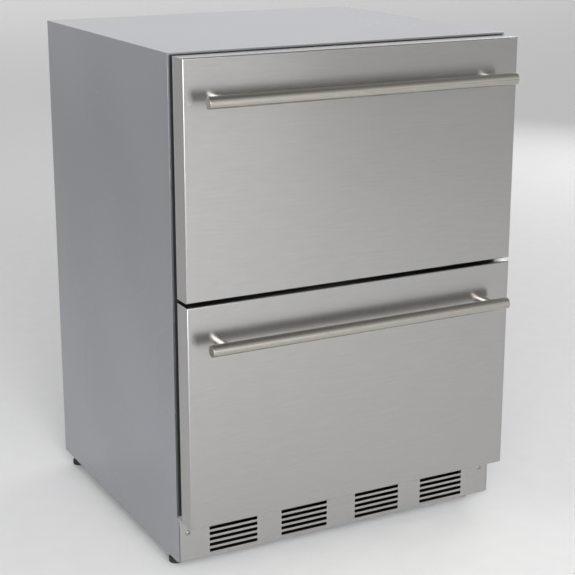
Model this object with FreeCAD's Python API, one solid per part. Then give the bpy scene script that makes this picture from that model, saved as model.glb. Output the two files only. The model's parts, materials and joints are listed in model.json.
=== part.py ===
import FreeCAD, Part
import math
import os

# Two-drawer undercounter refrigerator in stainless steel.
#
# Frame, in millimetres: +Z is up and z = 0 is the floor the feet stand on. +X is to the right of a
# person facing the drawers, +Y runs to the back, and the drawers open towards -Y. The origin is the
# centre of the whole object's footprint, from the front of the handle bars to the back of the cabinet.

Vector = FreeCAD.Vector

# ---- Driving dimensions ---------------------------------------------------------------------------

CABINET_WIDTH = 602.0
CABINET_HEIGHT = 816.0
CABINET_DEPTH = 534.0
FLOOR_GAP = 24.0            # floor to the underside of the cabinet

DRAWER_WIDTH = 594.2
DRAWER_FACE_STANDOFF = 44.6  # cabinet front plane to the drawer's face
DRAWER_RETURN = 35.0         # depth of the pan that wraps the drawer's front
UPPER_FRONT_SPAN = (443.8, 812.4)   # heights above the cabinet's underside
LOWER_FRONT_SPAN = (73.1, 437.4)

BAR_RADIUS = 9.5
BAR_LENGTH = 544.0
BAR_STANDOFF = 32.4          # drawer's face to the bar's axis
BAR_BELOW_TOP = 61.7         # drawer's top edge down to the bar's axis
POST_RADIUS = 7.5
POST_SPACING = 486.0

SHEET = 1.0                  # steel sheet of the wrapper, the doors and the covers
PAN_SHEET = 1.2              # heavier sheet of the base pan
SIDE_HEM = 3.5               # width of the wrapper's front hem at the sides
TOP_HEM = 2.7                # and along the top

CAVITY_HALF_WIDTH = 260.0
CAVITY_SPAN = (100.0, 760.0)        # liner floor and ceiling above the cabinet's underside
MULLION_SPAN = (412.0, 469.0)
MULLION_DEPTH = 50.0
LINER = 2.0
REAR_INSULATION = 45.0
FRAME_THICKNESS = 2.0
FRAME_BOTTOM = 80.0

KICK_HEIGHT = 72.0
KICK_WIDTH = 594.0
SLOT_WIDTH = 86.0
SLOT_HEIGHT = 5.2
SLOT_ROWS = 6
SLOT_PITCH = 9.8
FIRST_SLOT_HEIGHT = 8.7
SLOT_GROUP_CENTRES = (70.5, 201.6)  # each side of the middle

BAY_DEPTH = 180.0            # machine compartment at the bottom of the back
BAY_HEIGHT = 240.0
DUCT_HEIGHT = 60.0           # air duct between the base pan and the insulated floor

TUB_SHEET = 1.2
UPPER_TUB_SPAN = (478.0, 690.0)
LOWER_TUB_SPAN = (112.0, 370.0)
UPPER_SLIDE_LENGTH = 400.0
LOWER_SLIDE_LENGTH = 300.0
UPPER_SLIDE_HEIGHT = 590.0
LOWER_SLIDE_HEIGHT = 260.0
SLIDE_SETBACK = 6.0          # cabinet front plane to the slides' front ends
SLIDE_THICKNESS = 12.7

FOOT_SIDE_INSET = 19.0
FRONT_FOOT_SETBACK = 52.0
REAR_FOOT_INSET = 22.0

BRACKET_HOLE_RADIUS = 2.2
BRACKET_HOLE_SPACING = 15.0
BRACKET_CENTRES = (-217.0, 233.0)
BRACKET_HOLE_SETBACK = 27.0

SCREW_HEAD_RADIUS = 4.4
SCREW_HEAD_HEIGHT = 2.2
SCREW_SHANK_RADIUS = 2.0
SCREW_LENGTH = 8.0

# ---- Positions worked out from them ---------------------------------------------------------------

HALF = CABINET_WIDTH / 2
BASE = FLOOR_GAP
TOP = FLOOR_GAP + CABINET_HEIGHT
REACH = DRAWER_FACE_STANDOFF + BAR_STANDOFF + BAR_RADIUS
FRONT = REACH - (CABINET_DEPTH + REACH) / 2
BACK = FRONT + CABINET_DEPTH
INNER_HALF = HALF - SHEET
BACK_SKIN = BACK - 4.0       # inner face of the back panel, which sits just inside the wrapper
BACK_SKIN_OUTER = BACK_SKIN + SHEET
LINER_BACK = BACK_SKIN - REAR_INSULATION
CAVITY_BACK = LINER_BACK - LINER
BAY_FRONT = BACK_SKIN - BAY_DEPTH
BAY_TOP = BASE + BAY_HEIGHT
STEP_INSULATION = 35.0       # foam over and in front of the machine compartment
STEP_FRONT = BAY_FRONT - SHEET - STEP_INSULATION
STEP_TOP = BAY_TOP + SHEET + STEP_INSULATION
DRAWER_FACE = FRONT - DRAWER_FACE_STANDOFF
DRAWER_BACK = DRAWER_FACE + DRAWER_RETURN
BAR_Y = DRAWER_FACE - BAR_STANDOFF
EVAPORATOR_DEPTH = 60.0
COVER_FRONT = CAVITY_BACK - EVAPORATOR_DEPTH

# ---- Helpers --------------------------------------------------------------------------------------


def block(x, y, z):
    """A box from three (low, high) pairs."""
    return Part.makeBox(x[1] - x[0], y[1] - y[0], z[1] - z[0], Vector(x[0], y[0], z[0]))


def rod(radius, start, end):
    """A round bar between two points."""
    axis = Vector(*end) - Vector(*start)
    return Part.makeCylinder(radius, axis.Length, Vector(*start), axis)


def tube(outer, inner, start, end):
    """A round bar with a hole along it."""
    return rod(outer, start, end).cut(rod(inner, start, end))


def both_sides(half):
    """A half-width as the (low, high) pair centred on x = 0."""
    return (-half, half)


def mirrored(shape):
    """The shape's twin on the other side of x = 0."""
    return shape.mirror(Vector(0, 0, 0), Vector(1, 0, 0))


def joined(shapes):
    """Touching shapes as one solid."""
    whole = shapes[0].multiFuse(shapes[1:])
    return whole.removeSplitter()


def less(shape, tools):
    """A shape with every tool cut away."""
    for tool in tools:
        if shape.BoundBox.intersect(tool.BoundBox):
            shape = shape.cut(tool)
    return shape


def ring(outer, inner, y):
    """A flat frame in the XZ plane; outer and inner are (half width, low z, high z)."""
    around = block(both_sides(outer[0]), y, outer[1:])
    hole = block(both_sides(inner[0]), (y[0] - 1, y[1] + 1), inner[1:])
    return around.cut(hole)


def rounded(shape, radius, wanted):
    """Rounds the edges whose bounding box satisfies wanted."""
    edges = [edge for edge in shape.Edges if wanted(edge.BoundBox)]
    return shape.makeFillet(radius, edges)


def lies_in_y(level):
    return lambda box: abs(box.YMin - level) < 0.01 and abs(box.YMax - level) < 0.01


def lies_in_z(level):
    return lambda box: abs(box.ZMin - level) < 0.01 and abs(box.ZMax - level) < 0.01


def stands_upright(box):
    return box.ZLength > 1.0 and box.XLength < 0.01 and box.YLength < 0.01


def elbow(radius, first, centre, axis, degrees):
    """A round bar bent about an axis through centre, from first onwards."""
    heading = axis.cross(first - centre)
    section = Part.Face(Part.Wire(Part.makeCircle(radius, first, heading)))
    return section.revolve(centre, axis, degrees)


def bent_tube(radius, points, bend):
    """A line along straight runs joined by arcs of one bend radius."""
    corners = [Vector(*point) for point in points]
    pieces = []
    start = corners[0]
    for before, corner, after in zip(corners, corners[1:], corners[2:]):
        inward = (before - corner).normalize()
        outward = (after - corner).normalize()
        half_angle = inward.getAngle(outward) / 2
        setback = bend / math.tan(half_angle)
        first = corner + inward * setback
        centre = corner + (inward + outward).normalize() * (bend / math.sin(half_angle))
        pieces.append(rod(radius, start, first))
        axis = outward.cross(inward).normalize()
        pieces.append(elbow(radius, first, centre, axis, 180 - math.degrees(2 * half_angle)))
        start = corner + outward * setback
    pieces.append(rod(radius, start, corners[-1]))
    return joined(pieces)


def save(name, *shapes):
    """Writes one node; several shapes stay separate solids in it."""
    solids = [solid for shape in shapes for solid in shape.Solids]
    whole = solids[0] if len(solids) == 1 else Part.makeCompound(solids)
    whole.exportStep("parts/" + name + ".step")
    print(name, len(solids), "solid(s),", round(whole.Volume / 1000, 1), "cm3")
    return whole


def pan_head_screw(seat, direction):
    """A cross-recess pan-head screw; seat is the centre of its seat, direction points out of the head."""
    out = Vector(*direction)
    foot = Vector(*seat)
    head = Part.makeCylinder(SCREW_HEAD_RADIUS, SCREW_HEAD_HEIGHT, foot, out)
    rim = [edge for edge in head.Edges if (edge.BoundBox.Center - foot).Length > SCREW_HEAD_HEIGHT / 2]
    head = head.makeFillet(SCREW_HEAD_HEIGHT * 0.6, [edge for edge in rim if edge.Closed])
    shank = Part.makeCylinder(SCREW_SHANK_RADIUS, SCREW_LENGTH, foot, out * -1)
    arm, width, depth = 2.2, 0.5, 1.4
    recess_y = sorted((seat[1] + direction[1] * (SCREW_HEAD_HEIGHT - depth),
                       seat[1] + direction[1] * (SCREW_HEAD_HEIGHT + depth)))
    across = block((seat[0] - arm, seat[0] + arm), recess_y, (seat[2] - width, seat[2] + width))
    upright = block((seat[0] - width, seat[0] + width), recess_y, (seat[2] - arm, seat[2] + arm))
    return joined([head, shank]).cut(across).cut(upright)


def screw_holes(seats):
    """Round tools that clear the screws' shanks."""
    reach = SCREW_LENGTH + 1
    return [rod(SCREW_SHANK_RADIUS, (x, y - reach, z), (x, y + reach, z)) for x, y, z in seats]


# ---- Outer wrapper --------------------------------------------------------------------------------

KICK_SCREW_X = 282.7
KICK_SCREW_HEIGHT = 48.0
COVER_SCREW_X = 250.0
REAR_FLANGE = 14.0

kick_screw_seats = [(side * KICK_SCREW_X, FRONT - SHEET, BASE + KICK_SCREW_HEIGHT) for side in (-1, 1)]
cover_screw_seats = [(x, BACK_SKIN_OUTER, z)
                     for x in (-COVER_SCREW_X, 0, COVER_SCREW_X)
                     for z in (BASE + REAR_FLANGE / 2, BAY_TOP - REAR_FLANGE / 2)]
back_screw_seats = [(side * (INNER_HALF - REAR_FLANGE / 2), BACK_SKIN_OUTER, z)
                    for side in (-1, 1)
                    for z in (BAY_TOP + 25, (BAY_TOP + TOP) / 2, TOP - 25)]
rear_seats = cover_screw_seats + back_screw_seats


def make_side_panel():
    """Left side of the wrapper, hemmed round the front edge and flanged at the back."""
    wall = block((-HALF, -INNER_HALF), (FRONT, BACK), (BASE, TOP - SHEET))
    hem = block((-HALF, -HALF + SIDE_HEM), (FRONT, FRONT + SHEET), (BASE, TOP - TOP_HEM))
    flange = block((-INNER_HALF, -INNER_HALF + REAR_FLANGE), (BACK_SKIN - SHEET, BACK_SKIN),
                   (BAY_TOP + SHEET, TOP - SHEET))
    return joined([wall, hem, flange]).cut(Part.makeCompound(screw_holes(back_screw_seats)))


def bracket_holes():
    """Four tools for the holes that take the counter brackets."""
    y = FRONT + BRACKET_HOLE_SETBACK
    half = BRACKET_HOLE_SPACING / 2
    places = [centre + side * half for centre in BRACKET_CENTRES for side in (-1, 1)]
    return [rod(BRACKET_HOLE_RADIUS, (x, y, TOP - 20), (x, y, TOP + 1)) for x in places]


def make_top_panel():
    """Top of the wrapper, hemmed along the front and pierced for two counter brackets."""
    sheet = block(both_sides(HALF), (FRONT, BACK), (TOP - SHEET, TOP))
    hem = block(both_sides(INNER_HALF), (FRONT, FRONT + SHEET), (TOP - TOP_HEM, TOP - SHEET))
    return less(joined([sheet, hem]), bracket_holes())


BRACKET_PLATE = (20.0, 14.0, 3.0)    # half length, half width, thickness


def make_bracket_plates():
    """Tapped plates under the top panel, one for each counter bracket."""
    half_x, half_y, thick = BRACKET_PLATE
    y = FRONT + BRACKET_HOLE_SETBACK
    plates = [block((x - half_x, x + half_x), (y - half_y, y + half_y), (TOP - SHEET - thick, TOP - SHEET))
              for x in BRACKET_CENTRES]
    return [less(plate, bracket_holes()) for plate in plates]


def nut_pockets():
    """Room in the foam for the ends of the bracket screws."""
    half_x, half_y = BRACKET_PLATE[:2]
    y = FRONT + BRACKET_HOLE_SETBACK
    return [block((x - half_x, x + half_x), (y - half_y, y + half_y), (TOP - 20, TOP))
            for x in BRACKET_CENTRES]


def make_back_panel():
    """Flat back over the insulation."""
    sheet = block(both_sides(INNER_HALF), (BACK_SKIN, BACK_SKIN_OUTER), (BAY_TOP + SHEET, TOP - SHEET))
    return less(sheet, screw_holes(back_screw_seats))


GLAND = (250.0, BASE + 208.0)        # x and z of the power inlet in the back
GLAND_BODY_RADIUS = 8.0
GLAND_BORE_RADIUS = 4.25


def make_machine_cover():
    """Removable louvred cover over the machine compartment."""
    cover = block(both_sides(INNER_HALF), (BACK_SKIN, BACK_SKIN_OUTER), (BASE + PAN_SHEET, BAY_TOP + SHEET))
    through = (BACK_SKIN - 1, BACK_SKIN_OUTER + 1)
    vents = []
    for column in range(4):
        x = -210 + column * 120
        for row in range(9):
            z = BASE + 40 + row * 17
            vents.append(block((x, x + 80), through, (z, z + 6)))
    gland = rod(GLAND_BODY_RADIUS, (GLAND[0], through[0], GLAND[1]), (GLAND[0], through[1], GLAND[1]))
    return less(cover, vents + [gland] + screw_holes(cover_screw_seats))


def make_cord_gland():
    """Moulded bush that lines the power inlet."""
    x, z = GLAND
    body = rod(GLAND_BODY_RADIUS, (x, BACK_SKIN - 10, z), (x, BACK_SKIN_OUTER, z))
    flange = rod(GLAND_BODY_RADIUS + 4, (x, BACK_SKIN_OUTER, z), (x, BACK_SKIN_OUTER + 2.5, z))
    bore = rod(GLAND_BORE_RADIUS, (x, BACK_SKIN - 11, z), (x, BACK, z))
    return joined([body, flange]).cut(bore)


# ---- Base -----------------------------------------------------------------------------------------

FOOT_X = HALF - FOOT_SIDE_INSET
FOOT_PLACES = {
    "foot_front_left": (-FOOT_X, FRONT + FRONT_FOOT_SETBACK),
    "foot_front_right": (FOOT_X, FRONT + FRONT_FOOT_SETBACK),
    "foot_rear_left": (-FOOT_X, BACK - REAR_FOOT_INSET),
    "foot_rear_right": (FOOT_X, BACK - REAR_FOOT_INSET),
}
FOOT_RADIUS = 12.0
STEM_RADIUS = 5.0
STEM_CLEARANCE = 0.06


PAD_HEIGHT = 9.0
PAD_FILLET = 1.5
FOOT_HEX_RADIUS = 10.5
FOOT_HEX_HEIGHT = 12.0
STEM_TOP = BASE + 38.0


def make_foot(x, y):
    """Levelling foot: a moulded pad with a spanner hexagon, on a threaded stem."""
    pad = Part.makeCylinder(FOOT_RADIUS, PAD_HEIGHT, Vector(x, y, 0))
    pad = pad.makeFillet(PAD_FILLET, [edge for edge in pad.Edges if edge.Closed])
    corners = []
    for index in range(7):
        angle = math.radians(60 * index)
        corners.append(Vector(x + FOOT_HEX_RADIUS * math.cos(angle), y + FOOT_HEX_RADIUS * math.sin(angle),
                              PAD_HEIGHT))
    nut = Part.Face(Part.makePolygon(corners)).extrude(Vector(0, 0, FOOT_HEX_HEIGHT))
    stem = rod(STEM_RADIUS, (x, y, PAD_HEIGHT + FOOT_HEX_HEIGHT - 1), (x, y, STEM_TOP))
    return joined([pad, nut, stem])


RAIL_BOTTOM = BASE + DUCT_HEIGHT + 2.0
KICK_TAB = (268.0, 296.0)
SIDE_LIP_HEIGHT = 20.0
SIDE_LIP_SETBACK = 8.0
FOOT_NUT_RADIUS = 10.0
FOOT_NUT_HEIGHT = 10.0


def make_base_pan():
    """Welded base: pan, nuts for the feet, and tabs that carry the kick plate and the rail above it."""
    sheet_top = BASE + PAN_SHEET
    front_sheet = (FRONT, FRONT + PAN_SHEET)
    floor = block(both_sides(INNER_HALF), (FRONT + PAN_SHEET, BACK_SKIN), (BASE, sheet_top))
    rear = block(both_sides(INNER_HALF), (BACK_SKIN - SHEET, BACK_SKIN), (sheet_top, BASE + REAR_FLANGE))
    rail = block(both_sides(HALF - SIDE_HEM), front_sheet, (RAIL_BOTTOM, BASE + FRAME_BOTTOM))
    tab = block(KICK_TAB, front_sheet, (BASE, RAIL_BOTTOM))
    side_lip = block((INNER_HALF - PAN_SHEET, INNER_HALF), (FRONT + SIDE_LIP_SETBACK, BACK_SKIN - SHEET),
                     (sheet_top, BASE + SIDE_LIP_HEIGHT))
    nuts = [rod(FOOT_NUT_RADIUS, (x, y, sheet_top), (x, y, sheet_top + FOOT_NUT_HEIGHT))
            for x, y in FOOT_PLACES.values()]
    pan = joined([floor, rear, rail, tab, mirrored(tab), side_lip, mirrored(side_lip)] + nuts)
    bores = [rod(STEM_RADIUS + STEM_CLEARANCE, (x, y, 0), (x, y, STEM_TOP + 2))
             for x, y in FOOT_PLACES.values()]
    return less(pan, bores + screw_holes(kick_screw_seats) + screw_holes(cover_screw_seats))


def make_insulation_pan():
    """Bent sheet under the foam: over the air duct, up the front of the machine bay and over it."""
    deck = block(both_sides(INNER_HALF), (FRONT + FRAME_THICKNESS, BAY_FRONT),
                 (BASE + DUCT_HEIGHT, BASE + DUCT_HEIGHT + SHEET))
    riser = block(both_sides(INNER_HALF), (BAY_FRONT - SHEET, BAY_FRONT),
                  (BASE + DUCT_HEIGHT, BAY_TOP + SHEET))
    roof = block(both_sides(INNER_HALF), (BAY_FRONT, BACK_SKIN), (BAY_TOP, BAY_TOP + SHEET))
    lip = block(both_sides(INNER_HALF), (BACK_SKIN - SHEET, BACK_SKIN), (BAY_TOP - REAR_FLANGE, BAY_TOP))
    return less(joined([deck, riser, roof, lip]), screw_holes(cover_screw_seats) + [suction_hole()])


def make_kick_plate():
    """Removable kick plate with four groups of slots that feed air to the machine bay."""
    plate = block(both_sides(KICK_WIDTH / 2), (FRONT - SHEET, FRONT), (BASE, BASE + KICK_HEIGHT))
    plate = rounded(plate, 3.0, lambda box: box.YLength > 0.5 and box.XLength < 0.01 and box.ZLength < 0.01)
    slots = []
    for centre in SLOT_GROUP_CENTRES:
        for row in range(SLOT_ROWS):
            z = BASE + FIRST_SLOT_HEIGHT + row * SLOT_PITCH
            slot = block((centre - SLOT_WIDTH / 2, centre + SLOT_WIDTH / 2), (FRONT - 2, FRONT + 1),
                         (z - SLOT_HEIGHT / 2, z + SLOT_HEIGHT / 2))
            slots.extend([slot, mirrored(slot)])
    return plate.cut(Part.makeCompound(slots + screw_holes(kick_screw_seats)))


# ---- Insulated interior ---------------------------------------------------------------------------

CONTROL_SPAN = (762.0, 788.0)
CONTROL_HALF_WIDTH = 110.0


def stepped_cavity(wall):
    """The cavity's volume grown by a wall thickness; its lower back steps in front of the machine bay."""
    half = CAVITY_HALF_WIDTH + wall
    low = BASE + CAVITY_SPAN[0] - wall
    high = BASE + CAVITY_SPAN[1] + wall
    start = FRONT + FRAME_THICKNESS
    tall = block(both_sides(half), (start, CAVITY_BACK + wall), (STEP_TOP + LINER - wall, high))
    deep = block(both_sides(half), (start, STEP_FRONT - LINER + wall), (low, high))
    return joined([tall, deep])


SUCTION_X = -240.0
SUCTION_Y = BACK_SKIN - 22.0
SUCTION_Z = BASE + 500.0
SUCTION_BEND = 12.0
SUCTION_PASSAGE = 5.0
COIL_Y = CAVITY_BACK - 25.0
COIL_HALF_WIDTH = 215.0


def suction_route():
    """From the evaporator's first tube, back through the liner, and down to the compressor."""
    low = BASE + 120
    return [(-COIL_HALF_WIDTH, COIL_Y, SUCTION_Z), (SUCTION_X, COIL_Y, SUCTION_Z),
            (SUCTION_X, SUCTION_Y, SUCTION_Z), (SUCTION_X, SUCTION_Y, low),
            (SUCTION_X + 31, SUCTION_Y - 29, low)]


def suction_hole():
    """Passage of the suction line through the liner, the foam and the sheet under it."""
    return bent_tube(SUCTION_PASSAGE, suction_route(), SUCTION_BEND)


def make_inner_liner():
    """Moulded liner of the whole cavity."""
    return stepped_cavity(LINER).cut(stepped_cavity(0)).cut(suction_hole())


def make_front_frame():
    """Black moulded frame that carries the gaskets' seats round both openings."""
    outer = block(both_sides(HALF - SIDE_HEM), (FRONT, FRONT + FRAME_THICKNESS),
                  (BASE + FRAME_BOTTOM, TOP - TOP_HEM))
    through = (FRONT - 1, FRONT + FRAME_THICKNESS + 1)
    upper = block(both_sides(CAVITY_HALF_WIDTH), through, (BASE + MULLION_SPAN[1], BASE + CAVITY_SPAN[1]))
    lower = block(both_sides(CAVITY_HALF_WIDTH), through, (BASE + CAVITY_SPAN[0], BASE + MULLION_SPAN[0]))
    control = block(both_sides(CONTROL_HALF_WIDTH), through,
                    (BASE + CONTROL_SPAN[0], BASE + CONTROL_SPAN[1]))
    return less(outer, [upper, lower, control])


def make_mullion():
    """Insulated cross bar between the two openings."""
    start = FRONT + FRAME_THICKNESS
    bar = block(both_sides(CAVITY_HALF_WIDTH), (start, start + MULLION_DEPTH),
                (BASE + MULLION_SPAN[0], BASE + MULLION_SPAN[1]))
    return rounded(bar, 6.0, lambda box: box.XLength > 1 and box.YMin > start + 1)


def make_foam(neighbours):
    """Foamed-in-place insulation between the wrapper and the liner."""
    body = block(both_sides(INNER_HALF), (FRONT + FRAME_THICKNESS, BACK_SKIN),
                 (BASE + DUCT_HEIGHT + SHEET, TOP - SHEET))
    bay = block(both_sides(INNER_HALF + 1), (BAY_FRONT - SHEET, BACK_SKIN + 1), (BASE, BAY_TOP + SHEET))
    return less(body, [stepped_cavity(LINER), bay] + neighbours)


def make_lamps():
    """Light bars under the ceiling and under the mullion."""
    ceiling = BASE + CAVITY_SPAN[1]
    under_mullion = BASE + MULLION_SPAN[0]
    places = ((FRONT + 60, ceiling), (FRONT + 20, under_mullion))
    bars = [block(both_sides(190), (y, y + 14), (z - 6, z)) for y, z in places]
    return [bar.makeChamfer(2.0, [edge for edge in bar.Edges if lies_in_z(z - 6)(edge.BoundBox)])
            for bar, (y, z) in zip(bars, places)]


# ---- Controls -------------------------------------------------------------------------------------

BUTTON_RADIUS = 4.5
BUTTON_CLEARANCE = 0.4
BUTTON_HEIGHT = BASE + (CONTROL_SPAN[0] + CONTROL_SPAN[1]) / 2
BUTTON_PLACES = {"button_power": 52.0, "button_warmer": 72.0, "button_colder": 92.0}
CONTROL_FACE = FRONT - 2.0
DISPLAY_HALF_WIDTH = 32.0
DISPLAY_CENTRE = -40.0


def display_block(margin):
    x = (DISPLAY_CENTRE - DISPLAY_HALF_WIDTH - margin, DISPLAY_CENTRE + DISPLAY_HALF_WIDTH + margin)
    z = (BUTTON_HEIGHT - 8 - margin, BUTTON_HEIGHT + 8 + margin)
    return block(x, (CONTROL_FACE, CONTROL_FACE + 3), z)


def control_block():
    """The control strip's envelope."""
    return block(both_sides(CONTROL_HALF_WIDTH), (CONTROL_FACE, FRONT + 16),
                 (BASE + CONTROL_SPAN[0], BASE + CONTROL_SPAN[1]))


def make_control_housing():
    """Housing of the control strip, with a window and three button wells."""
    body = control_block()
    body = rounded(body, 1.2, lies_in_y(CONTROL_FACE))
    radius = BUTTON_RADIUS + BUTTON_CLEARANCE
    wells = [rod(radius, (x, CONTROL_FACE - 1, BUTTON_HEIGHT), (x, FRONT + 8, BUTTON_HEIGHT))
             for x in BUTTON_PLACES.values()]
    return less(body, wells + [display_block(0)])


def make_button(x):
    """Push button with a softened edge."""
    cap = rod(BUTTON_RADIUS, (x, CONTROL_FACE - 1.5, BUTTON_HEIGHT), (x, FRONT + 5, BUTTON_HEIGHT))
    return cap.makeFillet(0.6, [edge for edge in cap.Edges if lies_in_y(CONTROL_FACE - 1.5)(edge.BoundBox)])


# ---- Machine compartment --------------------------------------------------------------------------

BAY_FLOOR = BASE + PAN_SHEET
COMPRESSOR_X = -165.0
COMPRESSOR_Y = BACK_SKIN - 92.0
COMPRESSOR_RADIUS = 64.0
COMPRESSOR_HEIGHT = 155.0
COMPRESSOR_FOOT = (85.0, 55.0, 3.0)      # half length, half width and thickness of its foot plate
CAN_SHEET = 3.0
CAN_FILLET = 28.0
SEAM_FLANGE = (78.0, 82.0)               # heights of the can's seam above the foot plate's underside
PUMP_RADIUS = 38.0
PUMP_HEIGHT = 90.0
TERMINAL_REACH = 24.0
TERMINAL_HALF = 24.0
TERMINAL_HEIGHTS = (25.0, 70.0)
MOUNT_HEIGHT = 14.0
FAN_X = 178.0
FAN_Y = BACK_SKIN - 88.0
FAN_Z = BASE + 108.0
CONDENSER_X = (205.0, 245.0)


def make_compressor():
    """Welded compressor can on its foot plate, with a terminal cover and the pump inside."""
    x, y = COMPRESSOR_X, COMPRESSOR_Y
    half_x, half_y, thick = COMPRESSOR_FOOT
    low = BAY_FLOOR + MOUNT_HEIGHT
    floor = low + thick + CAN_SHEET
    ceiling = low + COMPRESSOR_HEIGHT
    plate = block((x - half_x, x + half_x), (y - half_y, y + half_y), (low, low + thick))
    can = Part.makeCylinder(COMPRESSOR_RADIUS, COMPRESSOR_HEIGHT, Vector(x, y, low + thick))
    can = rounded(can, CAN_FILLET, lies_in_z(low + thick + COMPRESSOR_HEIGHT))
    inside = Part.makeCylinder(COMPRESSOR_RADIUS - CAN_SHEET, ceiling - floor, Vector(x, y, floor))
    inside = rounded(inside, CAN_FILLET - CAN_SHEET, lies_in_z(ceiling))
    seam = tube(COMPRESSOR_RADIUS + 2.5, COMPRESSOR_RADIUS - 1, (x, y, low + SEAM_FLANGE[0]),
                (x, y, low + SEAM_FLANGE[1]))
    shell = joined([can, plate, seam]).cut(inside)
    pump = Part.makeCylinder(PUMP_RADIUS, PUMP_HEIGHT, Vector(x, y, floor))
    terminal = block((x + COMPRESSOR_RADIUS - 2, x + COMPRESSOR_RADIUS + TERMINAL_REACH),
                     (y - TERMINAL_HALF, y + TERMINAL_HALF),
                     (low + TERMINAL_HEIGHTS[0], low + TERMINAL_HEIGHTS[1])).cut(can)
    return [shell, pump, terminal]


def make_compressor_mounts():
    """Four rubber mounts under the compressor's foot plate."""
    places = [(COMPRESSOR_X + sx * 72, COMPRESSOR_Y + sy * 42) for sx in (-1, 1) for sy in (-1, 1)]
    mounts = []
    for x, y in places:
        body = Part.makeCone(11, 8, MOUNT_HEIGHT, Vector(x, y, BAY_FLOOR))
        mounts.append(body)
    return mounts


def serpentine(radius, rows, pitch, low_end, high_end):
    """Level tubes stacked at a pitch and joined by half-round returns; the first joins the two ends."""
    low = Vector(*low_end)
    high = Vector(*high_end)
    step = Vector(0, 0, pitch)
    along = (high - low).normalize()
    pieces = [rod(radius, low + step * row, high + step * row) for row in range(rows)]
    for row in range(rows - 1):
        at_high = row % 2 == 0
        first = (high if at_high else low) + step * row
        axis = along.cross(Vector(0, 0, 1)) if at_high else Vector(0, 0, 1).cross(along)
        pieces.append(elbow(radius, first, first + step * 0.5, axis, 180))
    return pieces


CONDENSER_HALF = 66.0


def condenser_columns():
    return CONDENSER_X[0] + 10, CONDENSER_X[1] - 10


def make_condenser():
    """Finned condenser: two columns of tubes joined by a crossover at the bottom."""
    y = (FAN_Y - CONDENSER_HALF, FAN_Y + CONDENSER_HALF)
    z_low = FAN_Z - 60
    first_x, second_x = condenser_columns()
    pieces = []
    for x in (first_x, second_x):
        pieces.extend(serpentine(4.0, 6, 24.0, (x, y[0] - 2, z_low), (x, y[1] + 2, z_low)))
    start = Vector(first_x, y[0] - 2, z_low)
    middle = Vector((first_x + second_x) / 2, y[0] - 2, z_low)
    pieces.append(elbow(4.0, start, middle, Vector(0, 0, 1), 180))
    fin, count = 0.8, 17
    for index in range(count):
        place = y[0] + index * (y[1] - y[0] - fin) / (count - 1)
        pieces.append(block(CONDENSER_X, (place, place + fin), (z_low - 14, z_low + 134)))
    return joined(pieces)


SHROUD_HALF = 72.0
SHROUD_HOLE_RADIUS = 60.0


def make_fan_shroud():
    """Shroud between the condenser and its fan, with a motor bracket of three arms."""
    half = SHROUD_HALF
    front = FAN_X - 12
    low, high = FAN_Z - half - 8, FAN_Z + half + 4
    plate = block((front, front + SHEET), (FAN_Y - half, FAN_Y + half), (FAN_Z - half, FAN_Z + half))
    hole = rod(SHROUD_HOLE_RADIUS, (front - 1, FAN_Y, FAN_Z), (front + 2, FAN_Y, FAN_Z))
    box = block((front, CONDENSER_X[0]), (FAN_Y - half, FAN_Y + half), (low, high))
    inside = block((front + SHEET, CONDENSER_X[0] + 1), (FAN_Y - half + SHEET, FAN_Y + half - SHEET),
                   (low + SHEET, high - SHEET))
    shell = joined([box.cut(inside), plate]).cut(hole)
    arms = []
    for angle in (90, 210, 330):
        arm = block((front - 2, front), (FAN_Y + 18, FAN_Y + 68), (FAN_Z - 4, FAN_Z + 4))
        arm.rotate(Vector(0, FAN_Y, FAN_Z), Vector(1, 0, 0), angle)
        arms.append(arm)
    hub = tube(20.0, 5.0, (front - 2, FAN_Y, FAN_Z), (front, FAN_Y, FAN_Z))
    return joined([shell, hub] + arms)


def fan_wheel(centre, axis, radius, hub_radius, depth, blades, shaft_radius):
    """A fan: a hub bored for the shaft, and pitched blades, turning about axis ('x' or 'y')."""
    hub = Part.makeCylinder(hub_radius, depth, Vector(0, 0, -depth / 2), Vector(0, 0, 1))
    pieces = [hub]
    for index in range(blades):
        blade = block((hub_radius - 3, radius - 1), (-radius * 0.26, radius * 0.26), (-0.7, 0.7))
        blade.rotate(Vector(0, 0, 0), Vector(1, 0, 0), 28)
        blade.rotate(Vector(0, 0, 0), Vector(0, 0, 1), 360 / blades * index)
        pieces.append(blade)
    envelope = Part.makeCylinder(radius, depth, Vector(0, 0, -depth / 2), Vector(0, 0, 1))
    wheel = joined(pieces).common(envelope)
    wheel = wheel.cut(Part.makeCylinder(shaft_radius + 0.05, depth + 2, Vector(0, 0, -depth / 2 - 1)))
    if axis == "x":
        wheel.rotate(Vector(0, 0, 0), Vector(0, 1, 0), 90)
    else:
        wheel.rotate(Vector(0, 0, 0), Vector(1, 0, 0), 90)
    wheel.translate(Vector(*centre))
    return wheel


SHAFT_RADIUS = 3.0
EVAP_FAN_X = 0.0
EVAP_FAN_Z = BASE + 697.0
EVAP_FAN_Y = COVER_FRONT + 16.0


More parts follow.
